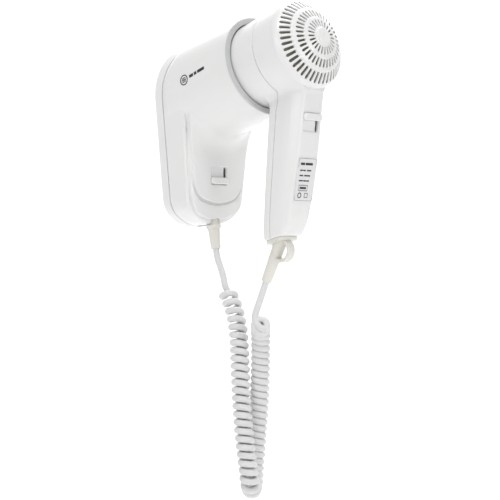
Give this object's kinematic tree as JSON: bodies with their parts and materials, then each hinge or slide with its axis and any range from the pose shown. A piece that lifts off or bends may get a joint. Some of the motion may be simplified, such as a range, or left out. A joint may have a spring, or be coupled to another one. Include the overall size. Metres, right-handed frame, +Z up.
{
  "type": "hair_dryer",
  "caption": "Hotel-style wall hair dryer: white wall unit with a tilted round holder, a handset hung in it by its nozzle, slide switches and a curly cord between them.",
  "frame": {"origin": "centre of the wall face of the wall plate, 75.8 mm below the head's centre", "axes": "+Y into the wall, +Z up, +X to the right seen from the front"},
  "size_m": [0.0996, 0.1741, 0.4553],
  "materials": {
    "white_abs": "moulded, satin gloss",
    "grey_rim": "moulded, satin gloss",
    "grey_plastic": "moulded",
    "ivory_pvc": "soft PVC, matt",
    "cord_pvc": "soft PVC, matt",
    "badge_ink": "printed badge",
    "label_film": "printed film",
    "steel": "zinc plated",
    "cream_plastic": "moulded",
    "wire_pvc": "insulated lead",
    "motor_steel": "drawn can",
    "mica": "pressed mica",
    "heater_wire": "resistance wire",
    "nickel": "nickel plated",
    "board": "laminate"
  },
  "bodies": {
    "wall_unit": {"wall_plate": "white_abs", "front_cover": "white_abs", "cover_screw": "steel", "holder_rim": "grey_rim", "holder_cup": "grey_plastic", "base_switch_body": "white_abs", "terminal_block": "cream_plastic", "terminal_screws": "steel", "base_wires": "wire_pvc", "base_clamp": "cream_plastic", "clamp_screws": "steel", "base_boot": "ivory_pvc", "barrel_badge": "badge_ink", "base_cord_tail": "cord_pvc", "curly_cord": "cord_pvc", "handset_cord_tail": "cord_pvc"},
    "handset": {"rear_shell": "white_abs", "front_shell": "white_abs", "handle_screws": "steel", "outlet_grille": "grey_plastic", "dust_screen": "grey_plastic", "motor_can": "motor_steel", "motor_holder": "grey_plastic", "mica_tube": "mica", "mica_cross": "mica", "heating_coil": "heater_wire", "thermostat": "nickel", "thermal_fuse": "nickel", "rectifier_board": "board", "handle_switch_body": "white_abs", "handset_wires": "wire_pvc", "handset_clamp": "cream_plastic", "handset_boot": "ivory_pvc", "hanging_loop": "ivory_pvc", "rating_label": "label_film"},
    "fan": {"fan_impeller": "grey_plastic", "motor_shaft": "steel"},
    "base_slider": {"base_switch_knob": "white_abs"},
    "handle_slider": {"handle_switch_knob": "white_abs"}
  },
  "joints": [
    {"name": "handset_lift", "type": "slide", "parent": "wall_unit", "child": "handset", "axis": [0, -0.9659, 0.2588], "range_m": [0, 0.11]},
    {"name": "fan_spin", "type": "hinge", "parent": "handset", "child": "fan", "pos_m": [0, -0.1558, 0.0758], "axis": [0, -0.9659, 0.2588], "continuous": true},
    {"name": "base_switch", "type": "slide", "parent": "wall_unit", "child": "base_slider", "axis": [0, -0.03, 0.9996], "range_m": [0, 0.0095]},
    {"name": "handle_switch", "type": "slide", "parent": "handset", "child": "handle_slider", "axis": [0, 0.1255, -0.9921], "range_m": [0, 0.0095]}
  ]
}
